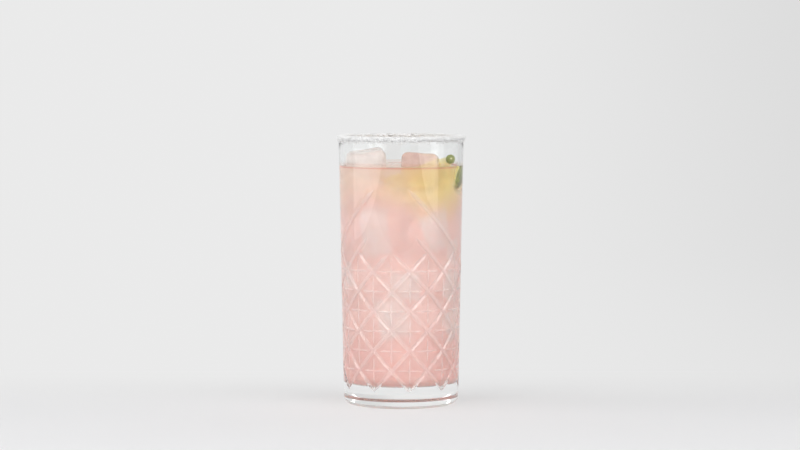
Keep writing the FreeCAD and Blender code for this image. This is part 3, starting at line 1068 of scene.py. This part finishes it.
class PALOMA_OT_add_ice(bpy.types.Operator):
    """Add the two cubes that break the surface and the ones sunk in the drink"""

    bl_idname = "paloma.add_ice"
    bl_label = "Add ice"

    def execute(self, context):
        sizes = context.scene.paloma_ice
        drink = context.scene.paloma_drink
        glass = context.scene.paloma_tumbler
        level = drink.level - ICE_IN_DRINK
        sunk_verts, sunk_faces = [], []

        def sink(points, faces):
            """Keeps a shape that lies under the surface, pushed inside the walls."""
            first = len(sunk_verts)
            points = np.array(points)
            room = inner_radius(glass, points[:, 2]) - ICE_TO_GLASS
            reach = np.hypot(points[:, 0], points[:, 1])
            points[:, :2] *= np.minimum(1.0, room / np.maximum(reach, 1e-6))[:, None]
            points[:, 2] = np.clip(points[:, 2], FLOOR_HEIGHT + ICE_TO_GLASS, level)
            sunk_verts.extend(points.tolist())
            sunk_faces.extend([[first + i for i in face] for face in faces])

        colours = {"ice_left": sizes.left, "ice_right": sizes.right}
        for seed, (name, colour) in enumerate(colours.items()):
            places, normals, faces = soften(name, *node_mesh(name), ICE_GRID)
            places = melt(places, normals, sizes.uneven * MM, CUBE_HOLLOWS, seed) / MM
            finish = wet_ice_finish("wet_" + name, sizes, colour)
            top = cut_at(places, faces, level, True)
            piece = make_piece(name + "_cube", *top, finish, "ice")
            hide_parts(name)
            sink(*cut_at(places, faces, level, False))
        verts, faces = cube_shape(sizes.sunk_size)
        for seed, (centre, turn) in enumerate(self.places(drink.seed)):
            spun = verts @ np.array(turn).T
            way = spun / np.linalg.norm(spun, axis=1)[:, None]
            sink(melt(spun + centre, way, sizes.uneven * 1.6, SUNK_HOLLOWS, seed + 4), faces)
        finish = sunk_ice_finish(sizes, lime_middle() * MM, drink.lime_glow_colour)
        make_piece("sunk_ice", sunk_verts, sunk_faces, finish, "ice")
        return {"FINISHED"}

    def places(self, seed):
        """Middle of each sunk cube, and its turn."""
        rng = random.Random(seed)
        spots = [  # bearing in degrees, radius, height
            (-38.0, 19.0, 95.0), (44.0, 20.0, 94.0), (6.0, 17.5, 70.5), (-20.0, 18.0, 47.0),
            (38.0, 18.0, 46.0), (-85.0, 18.0, 68.0), (88.0, 18.5, 70.0), (130.0, 18.0, 93.0),
            (-135.0, 18.0, 92.0), (180.0, 18.0, 66.0), (-110.0, 17.0, 43.0), (120.0, 18.0, 44.0),
            (180.0, 12.0, 30.0), (10.0, 8.0, 25.0),
        ]
        for bearing, radius, z in spots:
            b = math.radians(bearing)
            turn = Matrix.Identity(3)
            for axis, start in zip("ZXY", (b, 0.0, 0.0)):
                turn = turn @ Matrix.Rotation(rng.uniform(-0.5, 0.5) + start, 3, axis)
            yield np.array([radius * math.sin(b), -radius * math.cos(b), z]), turn


class PALOMA_OT_add_lime(bpy.types.Operator):
    """Add the lime wedge in place of its CAD solid"""

    bl_idname = "paloma.add_lime"
    bl_label = "Add lime wedge"

    def execute(self, context):
        sizes = context.scene.paloma_lime
        half = sizes.length / 2
        body = half - sizes.nub_length
        profile = [(-half, 0.0)]
        for t in [math.pi * i / 48 for i in range(1, 48)]:
            x = -half + (half + body) * (1 - math.cos(t)) / 2
            profile.append((x, sizes.radius * math.sin(t) ** 0.92))
        profile.append((body, 0.0))
        verts, faces = self.wedge(profile, sizes)
        fruit = [Vector(v) for v in verts]
        knob, knob_faces, knob_fruit = self.knob(sizes, half)
        faces += [[len(verts) + i for i in face] for face in knob_faces]
        verts += knob
        fruit += knob_fruit
        matrix = self.place(context, sizes, half)
        placed = [(matrix @ (Vector(v) * MM)) / MM for v in verts]
        fade, lift = 2.0, 5  # millimetres in which the curl begins, and that it moves the skin in
        for p, v in zip(placed, fruit):
            self.press(context, p)
            curl = min(1.0, max(0.0, (p.x - sizes.curl) / fade))
            curl *= min(1.0, max(0.0, (sizes.curl_below - p.z) / fade))
            grow = 1 + lift * curl / (math.hypot(v.y, v.z) or 1.0)
            v.y, v.z = v.y * grow, v.z * grow
        verts = [tuple(p) for p in placed]
        piece = make_piece("lime_wedge_piece", verts, faces, lime_finish(sizes), "lime")
        fruit = np.array([tuple(v) for v in fruit]) * MM
        keep_values(piece, "in_fruit", "FLOAT_VECTOR", "vector", fruit)
        bevel = piece.modifiers.new("soft_edges", "BEVEL")
        bevel.width = 0.0004
        bevel.segments = 2
        bevel.limit_method = "ANGLE"
        bevel.angle_limit = math.radians(50)
        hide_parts("lime_wedge")
        return {"FINISHED"}

    def wedge(self, profile, sizes):
        """Skin and the two cut faces, about the fruit's axis along X."""
        sweep, across = 20, 14
        hollow = 0.25  # how deep the cut faces sink between their edges
        verts, faces, rows = [], [], []
        for x, r in profile:
            rows.append([])
            for j in range(sweep + 1):
                a = sizes.wedge * j / sweep
                rows[-1].append(len(verts))
                verts.append((x, -r * math.sin(a), r * math.cos(a)))
        for here, there in zip(rows, rows[1:]):
            for j in range(sweep):
                faces.append([here[j], there[j], there[j + 1], here[j + 1]])
        for side, flip in ((0, False), (sweep, True)):
            a = sizes.wedge * side / sweep
            cut = []
            for row, (x, r) in zip(rows, profile):
                line = []
                for k in range(across):
                    share = k / across
                    inside = 4 * share * (1 - share)
                    dip = hollow * inside * min(1.0, r / 6) * (1 if flip else -1)
                    p = Vector((x, -r * share * math.sin(a), r * share * math.cos(a)))
                    p += Vector((0, math.cos(a), math.sin(a))) * dip
                    line.append(len(verts))
                    verts.append(tuple(p))
                cut.append(line + [row[side]])
            for here, there in zip(cut, cut[1:]):
                for k in range(across):
                    quad = [here[k], here[k + 1], there[k + 1], there[k]]
                    faces.append(quad[::-1] if flip else quad)
        build = to_bmesh(verts, faces)
        bmesh.ops.remove_doubles(build, verts=build.verts[:], dist=0.01)
        bmesh.ops.dissolve_degenerate(build, edges=build.edges[:], dist=0.005)
        bmesh.ops.recalc_face_normals(build, faces=build.faces[:])
        return from_bmesh(build)

    def knob(self, sizes, half):
        """The stem end's knob, with a pale spot on its front painted in as its highlight."""
        build = bmesh.new()
        bmesh.ops.create_icosphere(build, subdivisions=4, radius=1.0)
        ball, faces = from_bmesh(build)
        drop, turn = sizes.nub_drop, sizes.nub_turn
        centre = (half - sizes.nub_radius, -drop * math.sin(turn), drop * math.cos(turn))
        centre = Vector(centre)
        verts, fruit = [], []
        for place in ball:
            way = Vector(place).normalized()
            bump = noise.noise(way * 2.3) * 0.06
            verts.append(tuple(centre + way * sizes.nub_radius * (1 + bump)))
            # Painted highlight: pale pith colour on the front of the knob
            painted_knob_highlight = min(1.0, max(0.0, (way.y + 0.35 * way.x - 0.8 + bump) / 0.25))
            fruit.append(Vector((0, 0, sizes.radius + 1.0 - 2.1 * painted_knob_highlight)))
        return verts, faces, fruit

    def press(self, context, p):
        """Pushes a point beyond the wall back to it."""
        room = inner_radius(context.scene.paloma_tumbler, p.z) - LIME_TO_GLASS
        reach = math.hypot(p.x, p.y)
        if reach > room:
            p.x, p.y = p.x * room / reach, p.y * room / reach

    def place(self, context, sizes, half):
        """Where the fruit's own frame lies."""
        turn = (
            Matrix.Rotation(-sizes.heading, 4, "Z")
            @ Matrix.Rotation(-sizes.slope, 4, "Y")
            @ Matrix.Rotation(math.pi + sizes.face_turn, 4, "X")
        )
        z = context.scene.paloma_drink.level + sizes.tip_rise
        reach = inner_radius(context.scene.paloma_tumbler, z) - sizes.tip_gap
        tip = around(sizes.tip_bearing, reach, z) * MM
        return Matrix.Translation(tip - (turn @ Vector((half * MM, 0, 0)))) @ turn


class PALOMA_OT_add_salt(bpy.types.Operator):
    """Add the salted rim: a rough crust with loose crystals over it"""

    bl_idname = "paloma.add_salt"
    bl_label = "Add salted rim"

    def execute(self, context):
        sizes = context.scene.paloma_salt
        glass = context.scene.paloma_tumbler
        rng = random.Random(sizes.seed)
        radius = glass.rim_radius - glass.rim_wall / 2
        low, high = float(SALT_LOW[2]), float(SALT_HIGH[2])
        middle, tall = (low + high) / 2, (high - low) / 2
        reach_out = float(SALT_HIGH[0]) - radius
        reach_in = glass.rim_wall / 2 + sizes.lap
        count, section = 360, 14
        body = 0.74  # the crust's share of the salt's full reach
        fallen = 7  # every seventh crystal lies on the wall under the crust
        verts, faces = [], []
        noise.seed_set(sizes.seed)  # noise_vector would start from the clock otherwise

        def on_crust(bearing, a, share):
            way = math.radians(bearing)
            reach = reach_out if math.cos(a) > 0 else reach_in
            swell = 1.0 / max(abs(math.cos(a)), abs(math.sin(a))) ** 0.5
            lump = noise.noise(Vector((math.sin(way) * 14, math.cos(way) * 14, a * 0.8))) * 0.09
            out = radius + math.cos(a) * reach * swell * (share + lump)
            return around(way, out, middle + math.sin(a) * tall * swell * (share + lump * 0.6))

        for i in range(count):
            for j in range(section):
                p = on_crust(360.0 * i / count, 2 * math.pi * (j + 0.5) / section, body)
                verts.append(tuple(p + noise.noise_vector(p * 1.7) * 0.12))
                here, there = i * section, (i + 1) % count * section
                m = (j + 1) % section
                faces.append([here + j, there + j, there + m, here + m])
        finish = salt_finish("salt_crust", sizes, 900.0)
        core = make_piece("salt_crust", verts, faces, finish, "salt")
        verts, faces = [], []
        cube = [(x, y, z) for x in (-1, 1) for y in (-1, 1) for z in (-1, 1)]
        sides = [(0, 1, 3, 2), (4, 6, 7, 5), (0, 4, 5, 1), (2, 3, 7, 6), (0, 2, 6, 4), (1, 5, 7, 3)]
        for n in range(sizes.grains):
            a = rng.uniform(0, 2 * math.pi)
            edge = sizes.grain * rng.choice((0.55, 0.7, 0.85, 1.0, 1.25)) / 2
            share = rng.uniform(0.72, 0.9)
            centre = on_crust(rng.uniform(0, 360), a, share)
            if n % fallen == 0:
                way, z = rng.uniform(0, 2 * math.pi), low + 0.3 - 1.3 * rng.random() ** 2
                centre = around(way, outer_radius(glass, z) + edge * 0.5, z)
            turn = rng.uniform(0, 6.3)
            axis = Vector([rng.uniform(-1, 1) for _ in range(3)]).normalized()
            spin = Matrix.Rotation(turn, 3, axis)
            stretch = [edge * rng.uniform(0.75, 1.15) for _ in range(3)]
            first = len(verts)
            for corner in cube:
                p = centre + spin @ Vector([c * s for c, s in zip(corner, stretch)])
                flat = Vector((p.x, p.y, 0))
                flat = flat.normalized() * min(flat.length, float(SALT_HIGH[0]))
                verts.append((flat.x, flat.y, min(p.z, high)))
            faces += [[first + i for i in side] for side in sides]
        finish = salt_finish("salt_grains", sizes, 2500.0)
        grains = make_piece("salt_grains", verts, faces, finish, "salt")
        grains.data.polygons.foreach_set("use_smooth", [False] * len(grains.data.polygons))
        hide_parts("salt_rim")
        return {"FINISHED"}


class PALOMA_OT_add_stage(bpy.types.Operator):
    """Add the camera, the seamless paper and the lamps"""

    bl_idname = "paloma.add_stage"
    bl_label = "Add stage"

    def execute(self, context):
        sizes = context.scene.paloma_stage
        self.camera(context, sizes)
        paper = self.paper(sizes)
        paper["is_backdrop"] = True
        room = Finish("room", "worlds")
        shade = room.mix(room.sees("Camera", "Transmission"), sizes.surround, sizes.backdrop)
        sky = room.add("ShaderNodeBackground", sockets={"Color": shade})
        context.scene.world = room.done(sky, "ShaderNodeOutputWorld")
        left, right = (-1.0, -0.92, 1.0), (1.0, -0.99, 1.0)
        self.lamp(context, "left_softbox", left, (2.16, 2.0), (1, 0, 0), sizes.softbox)
        self.lamp(context, "right_softbox", right, (1.34, 2.0), (-1, 0, 0), sizes.softbox * 1.2)
        for side in (-1, 1):
            for name, (x, y, z), size, radiance in (
                ("rear_strip", (0.95, 0.95, 0.7), (0.14, 1.2), sizes.rear),
                ("high_softbox", (0.83, -1.21, 1.74), (1.0, 1.0), sizes.high),
            ):
                way = (-x * side, -y, 0.1 - z)
                self.lamp(context, name, (x * side, y, z), size, way, radiance)
        context.scene.view_settings.view_transform = "Standard"
        return {"FINISHED"}

    def camera(self, context, sizes):
        data = bpy.data.cameras.new("camera")
        data.lens = sizes.lens
        data.clip_end = 50
        camera = bpy.data.objects.new("camera", data)
        camera.location = (sizes.aside, -sizes.distance, sizes.height)
        aim = Vector((sizes.aside, 0, sizes.aim))
        camera.rotation_euler = (aim - camera.location).to_track_quat("-Z", "Y").to_euler()
        context.scene.collection.objects.link(camera)
        context.scene.camera = camera

    def paper(self, sizes):
        """A floor that sweeps up into the backdrop, in metres."""
        bend, back, front, wide, tall = 0.6, 1.6, -0.8, 2.6, 2.6
        line = [(front, 0.0)] + [(y, 0.0) for y in np.linspace(-0.6, back - bend, 12)]
        for a in np.linspace(0.1, math.pi / 2, 12):
            line.append((back - bend + bend * math.sin(a), bend - bend * math.cos(a)))
        line.append((back, tall))
        verts = [(x / MM, y / MM, z / MM) for y, z in line for x in (-wide, wide)]
        faces = [(2 * i, 2 * i + 1, 2 * i + 3, 2 * i + 2) for i in range(len(line) - 1)]
        return mesh_object("paper", verts, faces, paper_finish(sizes))

    def lamp(self, context, name, place, size, way, radiance):
        """An area lamp whose face has a brightness and looks one way."""
        data = bpy.data.lights.new(name, "AREA")
        data.shape = "RECTANGLE"
        data.size, data.size_y = size
        data.energy = radiance * math.pi * size[0] * size[1]
        lamp = bpy.data.objects.new(name, data)
        lamp.location = place
        lamp.rotation_euler = Vector(way).to_track_quat("-Z", "Y").to_euler()
        context.scene.collection.objects.link(lamp)


OPERATORS = (
    PALOMA_OT_add_tumbler,
    PALOMA_OT_add_drink,
    PALOMA_OT_add_ice,
    PALOMA_OT_add_lime,
    PALOMA_OT_add_salt,
    PALOMA_OT_add_stage,
)
GROUPS = {
    "paloma_tumbler": PALOMA_PG_tumbler,
    "paloma_drink": PALOMA_PG_drink,
    "paloma_ice": PALOMA_PG_ice,
    "paloma_lime": PALOMA_PG_lime,
    "paloma_salt": PALOMA_PG_salt,
    "paloma_stage": PALOMA_PG_stage,
}


class PALOMA_PT_panel(bpy.types.Panel):
    """Lists the pieces of the drink and their sizes"""

    bl_idname = "PALOMA_PT_panel"
    bl_label = "Paloma"
    bl_space_type = "VIEW_3D"
    bl_region_type = "UI"
    bl_category = "Paloma"

    def draw(self, context):
        for operator, (key, group) in zip(OPERATORS, GROUPS.items()):
            box = self.layout.box()
            box.operator(operator.bl_idname)
            for name in group.__annotations__:
                box.prop(getattr(context.scene, key), name)


def register():
    for group in GROUPS.values():
        bpy.utils.register_class(group)
    for key, group in GROUPS.items():
        setattr(bpy.types.Scene, key, PointerProperty(type=group))
    for operator in OPERATORS:
        bpy.utils.register_class(operator)
    bpy.utils.register_class(PALOMA_PT_panel)


def unregister():
    bpy.utils.unregister_class(PALOMA_PT_panel)
    for operator in reversed(OPERATORS):
        bpy.utils.unregister_class(operator)
    for key, group in reversed(list(GROUPS.items())):
        delattr(bpy.types.Scene, key)
        bpy.utils.unregister_class(group)


def main():
    """Builds every piece and the stage."""
    register()
    bpy.ops.paloma.add_tumbler()
    bpy.ops.paloma.add_drink()
    bpy.ops.paloma.add_ice()
    bpy.ops.paloma.add_lime()
    bpy.ops.paloma.add_salt()
    bpy.ops.paloma.add_stage()
    boxes = {"cad": CAD_BOX, "visual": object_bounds()}
    {key: [list(corner) for corner in box] for key, box in boxes.items()}


if __name__ == "__main__":
    main()
